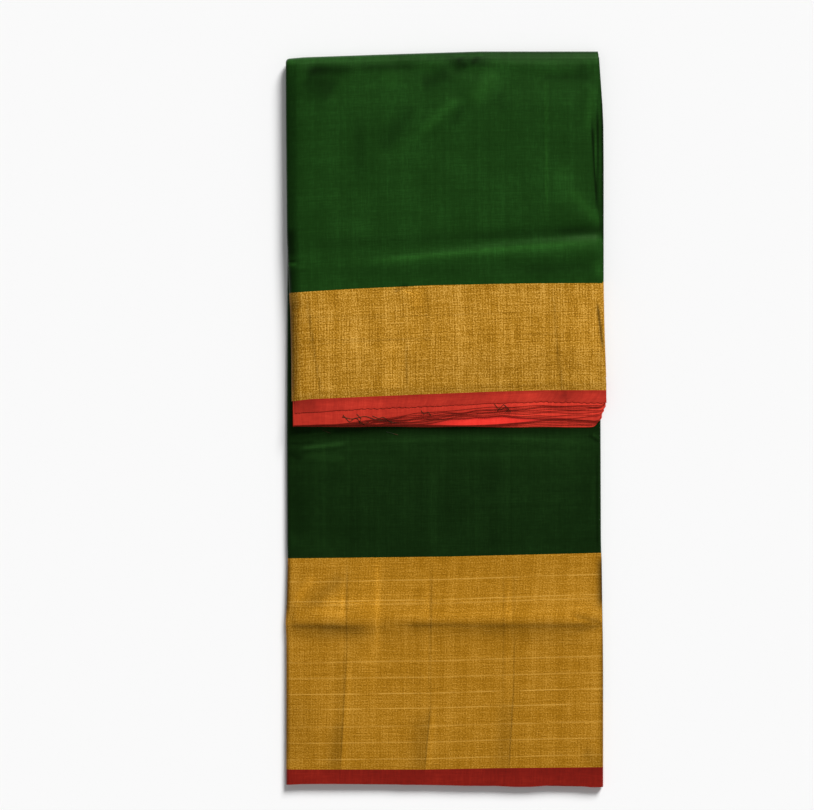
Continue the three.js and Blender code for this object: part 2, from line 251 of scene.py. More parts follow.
SIDES = {
    "flap": [down(SIDE_YS, xs) for xs in (FLAP_LEFT, FLAP_EDGE, FLAP_RIGHT)],
    "lower": [down(LOWER_YS, xs) for xs in (LOWER_LEFT, LOWER_EDGE, LOWER_RIGHT)],
}
print("the flap is", round(float(SIDES["flap"][2](0) - SIDES["flap"][0](0)), 1), "mm wide at its hem")

# %% [markdown]
# Cloth that is stored folded keeps the creases of the folds it had before. Each small crease is a
# soft ridge between two points, which fades out at both ends. Creases could be sculpted or simulated,
# but a formula puts each one exactly where the real cloth has it.


# %% The shape of a crease
def bell(distance, spread):
    """1 at no distance, falling softly to 0 on both sides."""
    return np.exp(-((distance / spread) ** 2))


def fade(distance, over):
    """0 up to no distance, rising softly to 1."""
    t = np.clip(distance / over, 0, 1)
    return t * t * (3 - 2 * t)


def crease(x, y, start, end, spread, height, sharp=1.0):
    """One crease from start to end. Where sharp is below 1 it is narrower on the side below it."""
    along = np.array(end, float) - np.array(start, float)
    length = np.hypot(*along)
    unit = along / length
    t = ((x - start[0]) * unit[0] + (y - start[1]) * unit[1]) / length
    side = (x - start[0]) * -unit[1] + (y - start[1]) * unit[0]
    reach = np.clip(np.minimum(t + 0.12, 1.12 - t) / 0.3, 0, 1)
    ends = reach * reach * (3 - 2 * reach)
    width = np.where(side < 0, spread * sharp, spread)
    return height * ends * bell(side, width)


def all_creases(table, x, y):
    """The sum of a table of creases."""
    return sum(crease(x, y, *row) for row in table)


print("a crease 7 mm wide, 7 mm off its line:", round(float(crease(0, 7, (-9, 0), (9, 0), 7, 1)), 2))

# %% [markdown]
# The flap's small creases are placed one by one, because no two in a real cloth are alike. Each has
# its two ends, its spread and its height in millimetres, and a minus makes it a trough.

# %% Creases on the flap
FLAP_CREASES = [
    # On the green, under the top fold.
    ((-150, 384), (-105, 372), 7, -0.5),
    ((-128, 372), (-118, 349), 9, -0.45),
    ((-60, 384), (-10, 378), 8, -0.5),
    ((0, 384), (52, 374), 7, -0.6),
    ((60, 386), (150, 380), 6, 0.4),
    # Soft diagonal ridges and the trough beside them.
    ((50, 378), (24, 345), 9, 0.8),
    ((12, 350), (-24, 315), 9, 0.8),
    ((-44, 330), (-66, 284), 11, -0.55),
    ((-100, 330), (-60, 250), 16, 0.5),
    ((110, 340), (108, 222), 3, 0.25, 0.6),
    ((124, 264), (146, 210), 12, 0.5),
    ((156, 366), (152, 318), 5, 0.4),
    ((60, 300), (92, 232), 14, -0.4),
    # Beside the slanting valley.
    ((-80, 171), (60, 182), 6, 0.4, 0.8),
    ((20, 166), (172, 168), 8, -0.7),
    ((-172, 171), (-158, 169), 2.5, -0.7),
    ((-172, 165), (-150, 164), 3, 0.5),
    ((-150, 232), (20, 246), 14, 0.35),
    # On the gold.
    ((-148, 140), (-142, 26), 2.5, 0.35, 0.6),
    ((-52, 146), (-34, 138), 2.2, -0.6),
    ((-40, 145), (-40, 60), 8, 0.4),
    ((118, 80), (124, 36), 2.5, -0.4),
    ((40, 140), (52, 50), 12, 0.3),
    ((-168, 132), (-163, 40), 4, -0.5),
]
print(len(FLAP_CREASES), "small creases on the flap")

# %% [markdown]
# The packet below was pressed under the flap. Its creases run along the hem that lay on it, across
# the gold where it was once folded, and down the cloth, where three pressed lines are steep on one
# side.

# %% Creases on the packet
LOWER_CREASES = [
    # Long creases under the flap's hem.
    ((-160, -33.5), (-108, -28.5), 3.2, 1.3, 0.7),
    ((-112, -28), (18, -22.5), 4.5, 0.6, 0.9),
    ((20, -22), (160, -27), 4.5, 0.5, 0.9),
    ((-165, -17), (-124, -15), 2.4, 0.8),
    ((-140, -31), (-60, -29), 4, -0.5),
    ((-172, -38), (-155, -40), 4, -0.7),
    ((-154, -45), (-108, -43), 5, 0.35),
    ((156, -14), (166, -24), 4, -0.7),
    ((-20, -36), (120, -33), 5, -0.3),
    ((-110, -50), (-100, -145), 8, 0.25),
    ((60, -50), (72, -140), 9, -0.25),
    # The soft ridge across the gold, gentle above and steep below.
    ((-180, -219), (-78, -220), 17, 2.0, 0.7),
    ((-60, -218), (70, -219), 14, 1.2, 0.62),
    ((50, -219), (178, -219), 14, 1.1, 0.62),
    # Pressed lines and bands on the gold.
    ((-114, -384), (-109.5, -230), 9, 0.7, 0.2),
    ((-22.7, -384), (-16, -230), 10, 0.7, 0.2),
    ((68, -384), (73, -230), 10, 0.6, 0.2),
    ((-78, -152), (-84, -300), 7, 0.3),
    ((-172, -196), (-60, -212), 8, 0.6),
    ((-172, -228), (-112, -228), 4, -0.8),
    ((-50, -226), (172, -227), 3, -0.4),
    ((136, -214), (172, -222), 3, -0.6),
    ((140, -228), (172, -222), 2.5, -0.5),
    ((60, -235), (172, -240), 6, 0.3),
    ((-120, -300), (-116, -380), 7, -0.3),
    ((-24, -300), (-28, -380), 8, -0.3),
    ((66, -300), (64, -380), 8, -0.25),
    ((142, -355), (168, -380), 9, -0.35),
]
PRESSED_LINES = (-109.5, -17.2, 73)
print(len(LOWER_CREASES), "small creases on the packet")

# %% [markdown]
# Light and shade are painted into the cloth's colour: painted highlights where a slope faces the
# light, and painted shade in troughs, in slits and under the flap. A painted picture could carry that,
# but a mark with the shape of a crease needs no picture: it has two ends, a spread, and how much paler
# or, with a minus, darker the cloth is painted.

# %% Painted light and shade on the flap's green
FLAP_PAINTED_LIGHT = [
    # Painted shade under the top fold.
    ((-156, 381), (-100, 382), 6, -0.5),
    ((-98, 383.5), (-32, 385), 4.5, -0.4),
    ((-152, 374), (-122, 357), 17, -0.5),
    ((-26, 364), (4, 379), 10, -0.42),
    ((2, 388), (48, 389.5), 5.5, -0.5),
    ((8, 376), (22, 388), 5, -0.3),
    ((28, 388), (40, 399), 3.5, -0.35),
    ((12, 389), (20, 397), 3, -0.3),
    ((104, 372), (150, 373), 3.5, -0.3),
    ((145, 386), (156, 370), 7, -0.28),
    # Painted highlights on the diagonal ridges, with painted shade beside them.
    ((54, 378), (30, 346), 9, 0.5),
    ((13, 350), (-25, 314), 6, 0.5),
    ((-20, 318), (-58, 288), 7, 0.14),
    ((-70, 376), (-52, 366), 9, 0.25),
    ((20, 341), (7, 320), 5, -0.26),
    ((-38, 340), (-69, 295), 10, -0.3),
    ((-94, 328), (-94, 262), 8, -0.18),
    ((54, 353), (67, 337), 8, -0.2),
    # Painted highlights on the right half, and along a pressed line down it.
    ((109.2, 368), (109.2, 222), 1.3, 0.6),
    ((126, 278), (128, 232), 14, 0.2),
    ((161, 364), (154, 314), 5, 0.42),
    ((136, 249), (168, 214), 6, 0.5),
    # The slanting ridge in painted light and shade: its dark valley, its lit side and its dark foot.
    ((-150, 191), (20, 198), 8, -0.18),
    ((20, 198), (172, 207), 6, -0.34),
    ((120, 205), (176, 206), 5, -0.25),
    ((174, 197), (-90, 172), 5.5, 0.4, 0.3),
    ((176, 194), (40, 184), 9, 0.34, 0.25),
    ((50, 187), (-66, 174), 7, 0.2, 0.4),
    ((-140, 160), (170, 164), 8, -0.14),
    ((80, 164), (168, 166), 7, -0.2),
    ((163, 173), (167, 156), 4.5, 0.42),
    # Painted shade down the left side, where the cloth rounds away, with a thin painted highlight.
    ((-172, 400), (-170, 138), 8, -0.5),
    ((-170, 208), (-168, 178), 8, -0.35),
    ((-170, 164), (-168, 138), 7, -0.4),
    ((-174, 172), (-164, 172), 1.6, -0.5),
    ((-174, 169.5), (-163, 169.5), 1.5, 0.85),
    # Painted shade in the slits between the plies at the open side, with a thin painted highlight on one
    # ply's edge.
    ((159, 325), (164.8, 229), 1.7, -0.9),
    ((162.6, 312), (164.4, 256), 1.2, 0.5),
    ((165.4, 342), (167.6, 212), 1.0, -0.9),
    ((170.8, 366), (172.4, 192), 2.1, -0.9),
]
print(len(FLAP_PAINTED_LIGHT), "marks on the flap's green")

# %% [markdown]
# On the flap's selvedge and gold the painted light and shade is fainter, apart from the painted shade
# in the slits at the two sides, where one looks in between the layers.

# %% Painted light and shade on the flap's selvedge and gold
FLAP_PAINTED_LIGHT += [
    # Painted light and shade on the red selvedge.
    ((-172, 16), (-140, 15), 8, -0.3),
    ((-110, 15), (-60, 17), 5, 0.12),
    ((60, 25), (106, 26), 5, 0.12),
    ((116, 25), (142, 25), 6, -0.14),
    ((130.5, 33), (131, 19), 1, -0.2),
    ((150, 26), (168, 25), 4, 0.16),
    ((84, 27), (100, 26), 4, 0.12),
    ((44, 26), (68, 25), 4, 0.12),
    ((-2, 20), (28, 22), 5, -0.08),
    ((-52, 26), (-30, 26), 3, -0.1),
    # Painted light and shade on the gold, darkest at its two sides.
    ((-166, 140), (-162, 120), 7, -0.3),
    ((-171, 130), (-170, 22), 9, -0.75),
    ((-151, 128), (-135.5, 23), 1.2, -0.36),
    ((-56, 140), (-41, 146), 2, -0.42),
    ((-31, 143), (-31, 122), 7, 0.16),
    ((-20, 142), (-20, 84), 3, -0.1),
    ((-42.7, 82), (-42.7, 34), 1.2, -0.3),
    ((-58, 84), (-58, 32), 12, 0.1),
    ((-165, 112), (-60, 112.5), 1.2, -0.12),
    ((-165, 86.5), (-10, 87.5), 1.2, -0.14),
    ((117.5, 134), (121, 78), 1.3, -0.2),
    ((121, 82), (128.4, 23), 1.1, -0.28),
    ((165, 126), (171.2, 78), 1.7, -0.72),
    ((168, 76), (171, 36), 5, -0.12),
]
print(len(FLAP_PAINTED_LIGHT), "marks on the whole flap")

# %% [markdown]
# The packet's green is painted with the shade of the flap, and with painted highlights and shade on
# the creases along its hem.

# %% Painted light and shade on the packet's green
LOWER_PAINTED_LIGHT = [
    # Painted shade under the flap's selvedges, on top of the shadow that they cast.
    ((-174, -11.5), (168, -11), 6.5, -0.42),
    # Painted highlights and shade on the creases along the hem.
    ((-157, -31.5), (-111, -26.5), 2.2, 1.1),
    ((14, -20), (-112, -26), 6, 0.34, 0.35),
    ((90, -21), (10, -20), 6, 0.3, 0.35),
    ((168, -26), (80, -20.5), 6, 0.3, 0.4),
    ((-148, -14.5), (-122, -12.5), 1.8, 0.9),
    ((-172, -26), (-144, -25.5), 1.6, -0.5),
    ((-172, -35), (-158, -44), 4.5, -0.5),
    ((-154, -38.5), (-112, -44), 4.5, 0.4),
    ((-134, -36), (-44, -37), 3, -0.18),
    ((157, -17), (167, -24), 1.6, -0.55),
    ((161, -16.5), (168, -20), 1.5, 0.9),
    ((-160, -34), (166, -36), 20, 0.34),
    # Painted light and shade along old folds down the green.
    ((-163, -55), (-155, -125), 10, -0.24),
    ((-170, -122), (-163, -136), 4, 0.22),
    ((50, -36), (50, -147), 8, -0.18),
    ((100, -30), (100, -147), 32, 0.12),
    ((-100, -60), (-100, -147), 6, -0.12),
    ((-13.6, -44), (-13.6, -147), 4, 0.22),
    ((-72, -104), (-72, -147), 4, 0.16),
    ((161, -60), (161, -108), 2.2, 0.28),
    ((165.6, -34), (165.8, -146), 1.2, -0.4),
]
print(len(LOWER_PAINTED_LIGHT), "marks on the packet's green")

# %% [markdown]
# On the gilt weave, painted light and shade show every old fold. A crease lies right across it, and
# beside each of the three pressed lines the cloth is painted darker, as painted shade.

# %% Painted light and shade on the packet's gold
LOWER_PAINTED_LIGHT += [
    # Painted light and shade on the gold above the crease, with deep painted shade at its two sides.
    ((-174.5, -154), (-175.5, -214), 4, -0.88),
    ((171, -150), (171.5, -205), 5.5, -0.82),
    ((-112, -171), (-148, -204), 8, -0.24),
    ((-144, -171), (-165, -201), 5, 0.2),
    ((-148, -206), (-106, -212), 5, 0.2),
    ((-74.6, -152), (-74.6, -250), 3, 0.22),
    ((-84, -152), (-84, -300), 8, 0.08),
    ((-172, -214), (170, -213), 5, 0.1),
    # The painted shade of the crease, uneven along it.
    ((-84, -226), (-176, -225.5), 11, -0.34, 0.16),
    ((-110, -228), (-138, -227), 7, -0.14, 0.3),
    ((-64, -226), (-82, -228), 5, -0.1, 0.5),
    ((30, -225), (-42, -224), 7, -0.17, 0.3),
    ((-14, -225), (-40, -224), 5, -0.14, 0.3),
    ((174, -225), (24, -226), 8.5, -0.27, 0.25),
    ((141, -215), (172, -223), 1.8, -0.3),
    ((141, -231), (172, -225), 1.8, -0.25),
    # Three pressed lines, with painted shade at their left and a faint painted highlight at their right.
    ((-107.8, -160), (-108.4, -262), 0.8, -0.22),
    ((-108.2, -258), (-115.4, -383), 0.8, -0.24),
    ((-115.2, -383), (-108.6, -258), 7, -0.16, 0.08),
    ((-15.8, -170), (-16.6, -322), 0.8, -0.2),
    ((-16.6, -312), (-22.8, -383), 0.8, -0.26),
    ((-22.8, -383), (-17, -318), 9, -0.22, 0.06),
    ((63, -158), (63, -300), 0.9, -0.14),
    ((75, -238), (73.8, -308), 0.8, -0.28),
    ((73.8, -300), (69.2, -383), 0.8, -0.28),
    ((69.2, -383), (73.6, -310), 7, -0.16, 0.08),
    ((-118, -332), (-124, -384), 8, -0.2),
    ((-30, -325), (-34, -384), 9, -0.12),
    ((63, -310), (59, -384), 7, -0.14),
    ((-104, -262), (-111, -383), 2.2, 0.12),
    ((-12.5, -318), (-18.5, -383), 2.2, 0.12),
    # Painted shade at its edges and lower corners.
    ((-175, -236), (-174.5, -384), 3.5, -0.45),
    ((173, -232), (173, -384), 3.5, -0.55),
    ((150, -364), (170, -381), 9, -0.2),
    ((-165, -300), (-160, -380), 22, -0.1),
]
print(len(LOWER_PAINTED_LIGHT), "marks on the whole packet")

# %% [markdown]
# Between its edges the cloth swells softly, and its broad forms repeat the frame's: the slanting
# valley and the ridge beside it on the flap, and the old fold across the packet. The small creases
# are added on top, and the cloth never sinks below a share of its broad swell, because the layers
# under it hold it up.

# %% Swells
# All in millimetres, but for the last, which is the least share of the broad swell that stays.
FLAP_RISE = 2.2
ROLL_RISE = 2.4
RIGHT_RISE = 1.4
RIDGE_RISE = 2.3
VALLEY_DEPTH = 1.4
OLD_FOLD_RISE = 2.6
PRESSED_DEPTH = 0.7
SLACK = 0.35
HELD_UP = 0.3


def flap_swell(x, y):
    """How far the flap's outer face stands off its layers."""
    from_top = fold_line(x) - y
    from_red = y - flap_red(x)
    to_ends = fade(from_top - FOLD_RADIUS, 60) * fade(from_red, 50)
    from_valley = y - flap_valley(x)
    towards_right = fade(x + HALF_WIDTH, 2 * HALF_WIDTH)
    below = -3 - from_valley
    lit_width = 6 + 12 * towards_right
    lit_side = 1 - (1 - np.clip(below / lit_width, 0, 1)) ** 1.6
    ridge_side = np.where(below > lit_width, bell(below - lit_width, 26), lit_side)
    to_right = fade(HALF_WIDTH + 2 - x, 14) * to_ends * towards_right
    fold = to_right * (RIDGE_RISE * ridge_side - VALLEY_DEPTH * bell(from_valley - 3, 9))
    held = fade(HALF_WIDTH + 2 - np.abs(x), 14) * fade(from_top, 14) * fade(from_red + 4, 12)
    left_roll = ROLL_RISE * fade(x + HALF_WIDTH + 1, 14) * fade(from_top, 18) * fade(from_red + 6, 16)
    middle = fade(HALF_WIDTH - np.abs(x), 45) * to_ends * FLAP_RISE
    broad = middle + left_roll + RIGHT_RISE * to_right
    small = SLACK + all_creases(FLAP_CREASES, x, y)
    return np.maximum(broad + fold + held * small, HELD_UP * broad)


def lower_swell(x, y):
    """How far the packet's inner face stands off its layers."""
    inside = fade(-12 - y, 50) * fade(y - lower_hem(x), 60) * fade(HALF_WIDTH - np.abs(x), 40)
    past = y - lower_crease(x)
    ridge = OLD_FOLD_RISE * np.where(past > 0, bell(past, 34), bell(past, 17))
    on_gold = fade(lower_gold(x) - y, 30)
    pressed = sum(bell(x - at - 0.02 * (y + 150), 3.2) for at in PRESSED_LINES)
    held = fade(HALF_WIDTH + 2 - np.abs(x), 12) * fade(-10 - y, 10) * fade(y - lower_red(x) + 6, 14)
    small = SLACK + all_creases(LOWER_CREASES, x, y)
    broad = inside * (1 + ridge)
    return np.maximum(broad - PRESSED_DEPTH * inside * on_gold * pressed + held * small, HELD_UP * broad)


print("swell at the flap's middle", round(float(flap_swell(0.0, 250.0)), 2), "mm")
print("swell on the old fold", round(float(lower_swell(0.0, -219.0)), 2), "mm")

# %% [markdown]
# Seen along its length the strip runs to and fro through the sixteen plies. Four halvings give the
# order below: the left turns are nested in one round nose, and the right ones make four lips of
# eight, four, two and two plies. A station is a point of that path. It has a share of the way from
# left to right, a distance to add in millimetres, a height in the packet, and its ply. Blender could
# fold a long mesh with modifiers, but a list of stations keeps the true order of the plies.

# %% The folded path through the plies
STRIP_ORDER = (15, 0, 7, 8, 11, 4, 3, 12, 13, 2, 5, 10, 9, 6, 1, 14)
LIP_INSETS = {15: 0.0, 14: 1.6, 13: 0.9, 12: 0.9, 11: 0.0, 10: 0.0, 9: 0.0, 8: 0.0}
TURN_POINTS = 7


def lip_inset(ply):
    """How far a ply's right turn stands back from the widest lip."""
    return LIP_INSETS.get(ply, 0.5)


def flat_run(ply, columns, rightwards, right_turn):
    """Stations along a ply. right_turn is the radius of the turn at its right end, or 0 at a cut."""
    shares = np.linspace(0, 1, columns) if np.isscalar(columns) else np.array(columns)
    stations = [
        (s, (1 - s) * NOSE - s * (right_turn + lip_inset(ply)), ply_height(ply), ply) for s in shares
    ]
    return stations if rightwards else stations[::-1]


def turn(first, second, at_left, right_inset):
    """Stations round the half circle that joins two plies."""
    low, high = ply_height(first), ply_height(second)
    middle, radius = (low + high) / 2, (low - high) / 2
    stations = []
    for k in range(1, TURN_POINTS):
        angle = math.pi * k / TURN_POINTS
        h = middle + radius * math.cos(angle)
        bulge = abs(radius) * math.sin(angle)
        ply = first if k < TURN_POINTS / 2 else second
        if at_left:
            stations.append((0.0, NOSE - bulge, h, ply))
        else:
            stations.append((1.0, -abs(radius) - right_inset + bulge, h, ply))
    return stations


def strip_path(plies, columns):
    """The whole path through some plies, in the order in which the strip passes through them."""
    stations = []
    for k, ply in enumerate(plies):
        place = STRIP_ORDER.index(ply)
        rightwards = place % 2 == 1
        before = STRIP_ORDER[place - 1] if place else None
        after = STRIP_ORDER[place + 1] if place < PLIES - 1 else None
        partner = after if rightwards else before
        right_turn = 0 if partner is None else abs(ply_height(ply) - ply_height(partner)) / 2
        stations += flat_run(ply, columns(ply), rightwards, right_turn)
        if k < len(plies) - 1:
            stations += turn(ply, plies[k + 1], not rightwards, lip_inset(ply))
    return stations


print("the strip passes through the plies in the order", *STRIP_ORDER)

# %% [markdown]
# Rows run the other way, along the packet. A row is a line across the cloth on the flap or on the
# packet, or an angle of the turn at the top fold, where the flap's sixteen plies go round each other.
# Near their selvedges the flap's plies splay apart, as the free edges of a stack do.

# %% Rows along the packet
ROW_STEP = 2.0
SPLAY = 2.2


def rows_between(part, start, end, count):
    """Even rows from one line to another on the flap or the lower packet."""
    return [(part, start, end, s) for s in np.linspace(0, 1, count)]


def fine_rows(part, start, end):
    """Rows about ROW_STEP millimetres apart, which is fine enough for the smallest crease."""
    length = abs(float(start(0.0)) - float(end(0.0)))
    return rows_between(part, start, end, int(length / ROW_STEP) + 1)


def fold_rows(count):
    """Rows round the top fold, without its two ends."""
    return [("turn", None, None, math.pi * (0.5 - k / count)) for k in range(1, count)]


def turn_start(x):
    """Where the flat cloth ends and the turn at the top fold begins."""
    return fold_line(x) - FOLD_RADIUS


def flap_height(x, y, h, swell_share):
    """The height of a point on the flap, h above the flap's inner face."""
    splay = SPLAY * h / THICK * fade(flap_red(x) + 8 - y, 26)
    return FOLD_Z + GAP / 2 + h + splay + swell_share * flap_swell(x, y)


def place_row(row, stations, swell_share):
    """The points of one row, in millimetres."""
    part, start, end, s = row
    share, add, h, ply = stations
    left_side, edge_side, right_side = SIDES["lower" if part == "lower" else "flap"]
    if part == "turn":
        y_left = y_right = HALF_LENGTH
    else:
        y_left, y_right = [start(x) + s * (end(x) - start(x)) for x in (-HALF_WIDTH, HALF_WIDTH)]
    left = left_side(y_left)
    widest = np.where(ply >= PLIES - 1, edge_side(y_right), right_side(y_right))
    x = left + share * (widest - left) + add
    if part == "turn":
        radius = GAP / 2 + h
        return x, turn_start(x) + radius * math.cos(s), FOLD_Z + radius * math.sin(s)
    y = start(x) + s * (end(x) - start(x))
    if part == "flap":
        return x, y, flap_height(x, y, h, swell_share)
    return x, y, THICK - h + swell_share * lower_swell(x, y)


print("the turn at the top fold begins at y", round(float(turn_start(0.0)), 1), "mm")

# %% [markdown]
# The ply that shows follows the swell fully, and those under it less and less. The top fold is painted
# darker, unevenly along its length, as painted shade on its round and just before it.

# %% How plies follow the swell, and the painted shade on the top fold
HIDDEN_SWELL = 0.25
FOLD_SHADE = -0.4
DARKEST, PALEST = -0.88, 1.5


def loose_share(part, h):
    """How far a ply follows the swell. The one that shows does so fully, and the next ones little."""
    outwards = h / THICK if part == "flap" else 1 - h / THICK
    return np.where(outwards > 1 - 0.5 / PLIES, 1.0, HIDDEN_SWELL * outwards**2)


def uneven_fold_shade(x):
    """How unevenly the painted shade lies along the top fold."""
    even = 1 - 1.2 * fade(20 - x, 120)
    return even + 0.25 * np.sin(0.23 * x) * np.sin(0.11 * x + 1) + 0.12 * np.sin(0.61 * x)


def painted_light_row(part, x, y):
    """How much paler or darker the cloth is painted along one row, as painted light and shade."""
    if part == "turn":
        return FOLD_SHADE * uneven_fold_shade(x)
    placed = all_creases(LOWER_PAINTED_LIGHT if part == "lower" else FLAP_PAINTED_LIGHT, x, y)
    return placed + FOLD_SHADE * uneven_fold_shade(x) * bell(y - turn_start(x), 2.5)


print("the fold's middle is marked", round(float(painted_light_row("turn", 0.0, 0.0)), 2))

# %% [markdown]
# A weave follows its cloth round every fold, so the pattern needs the cloth's flat measure. It is
# found by adding up the steps between neighbouring points, along the strip and up its width.


# %% Measuring the flat cloth
def flat_measure(folded):
    """For folded points, in rows: how far each lies along the strip, and each row up its width."""
    along = np.linalg.norm(np.diff(folded, axis=1), axis=2)
    u = np.concatenate([np.zeros((len(folded), 1)), np.cumsum(along, axis=1)], axis=1)
    up = np.linalg.norm(np.diff(folded, axis=0), axis=2).mean(axis=1)
    return u, np.concatenate([[0], np.cumsum(up)])


stair = np.array([[[0, 0, 0], [3, 0, 4]], [[0, 2, 0], [3, 2, 4]]], float)
print("a step of 3 and 4 mm measures", flat_measure(stair)[0][0, -1], "mm of cloth")

# %% [markdown]
# A piece of cloth starts as a flat grid, one vertex for each station of each row. Every vertex then
# moves to its place in the fold. The UV map keeps the flat measure in metres, and an attribute keeps
# the painted light and shade. A Solidify modifier gives the silk its thickness. A cloth simulation
# could lay the folds too, but these are pressed flat, and the formula is more exact.


# %% Folding a grid of cloth
def fold_cloth(name, rows, path, material, thickness=CLOTH_SHELL, zones=None, ply_light=None):
    """Folds one flat grid of cloth onto rows and a path of stations, and returns the piece."""
    stations = [np.array(values, float) for values in zip(*path)]
    cloth = bmesh.new()
    bmesh.ops.create_grid(cloth, x_segments=len(path) - 1, y_segments=len(rows) - 1, size=1)
    for edge in cloth.edges:
        edge.smooth = not edge.is_boundary
    mesh = bpy.data.meshes.new(name)
    cloth.to_mesh(mesh)
    cloth.free()
    flat = np.zeros(len(mesh.vertices) * 3)
    mesh.vertices.foreach_get("co", flat)
    flat = flat.reshape(-1, 3)
    column = np.rint((flat[:, 0] + 1) / 2 * (len(path) - 1)).astype(int)
    line = np.rint((flat[:, 1] + 1) / 2 * (len(rows) - 1)).astype(int)
    folded = np.zeros((len(rows), len(path), 3))
    for j, row in enumerate(rows):
        folded[j] = np.stack(place_row(row, stations, loose_share(row[0], stations[2])), axis=-1)
    u, v = flat_measure(folded)
    mesh.vertices.foreach_set("co", (folded[line, column] * MM).ravel())
    corners = np.zeros(len(mesh.loops), int)
    mesh.loops.foreach_get("vertex_index", corners)
    weave = mesh.uv_layers.new(name="cloth")
    spread = np.stack([u[line, column], v[line]], axis=-1)[corners] * MM
    weave.uv.foreach_set("vector", spread.ravel())
    # Painted light and shade for every point, from the tables of painted light and shade, and a piece's
    # own painted light where it has one.
    marks = np.stack([painted_light_row(row[0], *points.T[:2]) for row, points in zip(rows, folded)])
    if ply_light:
        marks += ply_light(folded[..., 0])
    marks = np.clip(marks, DARKEST, PALEST)
    mesh.attributes.new("marks", "FLOAT", "POINT").data.foreach_set("value", marks[line, column])
    mesh.update()
    piece = bpy.data.objects.new(name, mesh)
    scene.collection.objects.link(piece)
    mesh.materials.append(material)
    mesh.shade_smooth()
    wall = piece.modifiers.new("silk_thickness", "SOLIDIFY")
    wall.thickness = thickness * MM
    wall.offset = 0
    if zones:
        bands = np.array([zones(row) for row in rows])
        firsts = np.zeros(len(mesh.polygons), int)
        mesh.polygons.foreach_get("loop_start", firsts)
        mesh.polygons.foreach_set("material_index", bands[line[corners[firsts]]])
    size = (u[:, -1].mean() * MM, v[-1] * MM)
    print(name, len(mesh.polygons), "faces, flat", " x ".join(f"{s:.3f} m" for s in size))
    return piece, size


print("the silk's wall is", CLOTH_SHELL, "mm")

# %% [markdown]
# Plain weave is warp and weft threads a tenth of a millimetre apart, far too fine for the picture, so
# they are drawn about sixteen times as coarse, as streaks of noise. The noise is stretched along the
# warp or the weft in the cloth's own UV map, and each size is that of one cell of it in millimetres.
# Even ribs, a sine across the cloth, are drawn for the close zari weave.

# %% Thread patterns
REAL_THREAD = 0.1
STREAK = 1.5625
STREAK_LENGTH = 11.111
MULTIPLY = {"operation": "MULTIPLY"}
MULTIPLY_ADD = {"operation": "MULTIPLY_ADD"}


def threads(tree, along_strip, up_width, detail=2.0):
    """Noise in the cloth's own measure, with cells of so many millimetres each way."""
    weave = node(tree, "ShaderNodeUVMap", {"uv_map": "cloth"})
    cells = (1000 / along_strip, 1000 / up_width, 1)
    stretched = node(tree, "ShaderNodeMapping", in0=weave, Scale=cells)
    return node(
        tree, "ShaderNodeTexNoise", Vector=stretched, Scale=1.0, Detail=detail, Roughness=0.55
    ).outputs["Fac"]


def ribs(tree, up_width, period, wander):
    """Even threads, one every period in millimetres, that wander a little out of line."""
    weave = node(tree, "ShaderNodeUVMap", {"uv_map": "cloth"})
    parts = node(tree, "ShaderNodeSeparateXYZ", in0=weave)
    drift = threads(tree, 71.43, 16.667) if up_width else threads(tree, 16.667, 71.43)
    turns = 2 * math.pi / (period * MM)
    measure = parts.outputs[1 if up_width else 0]
    phase = node(tree, "ShaderNodeMath", MULTIPLY, in0=measure, in1=turns)
    phase = node(tree, "ShaderNodeMath", MULTIPLY_ADD, in0=drift, in1=wander, in2=phase)
    wave = node(tree, "ShaderNodeMath", {"operation": "SINE"}, in0=phase)
    return node(tree, "ShaderNodeMath", MULTIPLY_ADD, in0=wave, in1=0.5, in2=0.5)


def blend_patterns(tree, *weighted):
    """Adds patterns that each vary round 0.5, by their weights, into one that varies round 0.5."""
    total = 0.5 - 0.5 * sum(weight for _, weight in weighted)
    for pattern, weight in weighted:
        total = node(tree, "ShaderNodeMath", MULTIPLY_ADD, in0=pattern, in1=weight, in2=total)
    return total


def marked(tree, colour):
    """A colour made paler or darker by the painted light and shade along the cloth."""
    marks = node(tree, "ShaderNodeAttribute", {"attribute_name": "marks"}).outputs["Fac"]
    strength = node(tree, "ShaderNodeMath", {"operation": "ADD"}, in0=marks, in1=1.0)
    scaled = node(tree, "ShaderNodeVectorMath", {"operation": "SCALE"}, in0=colour, Scale=strength)
    return scaled.outputs[0]


def colour_steps(tree, pattern, dark, main, light, low, high):
    """Turns a pattern into colour, from dark at low through main to light at high."""
    ramp = node(tree, "ShaderNodeValToRGB", Fac=pattern)
    steps = ramp.color_ramp.elements
    steps[0].position, steps[0].color = low, linear(dark)
    steps[1].position, steps[1].color = high, linear(light)
    middle = steps.new(0.5)
    middle.color = linear(main)
    return ramp.outputs[0]


print("a streak is", round(STREAK / REAL_THREAD), "times as wide as a real thread")

# %% [markdown]
# Mulberry silk, plain woven and dyed. Its smooth fibres throw back a soft gleam of the dye's colour
# that changes with every small slope, so the roughness is middling and the specular tint is the dye's.
# Thicker slubs of weft and warp show as long streaks, and broad patches keep the colour from looking
# flat. The five silks differ in dye and in painted light: the packet's green is a darker copy of the
# flap's green, as painted shade, the packet's red is darker, and the lens ply's red is a brighter
# copy, as painted light.


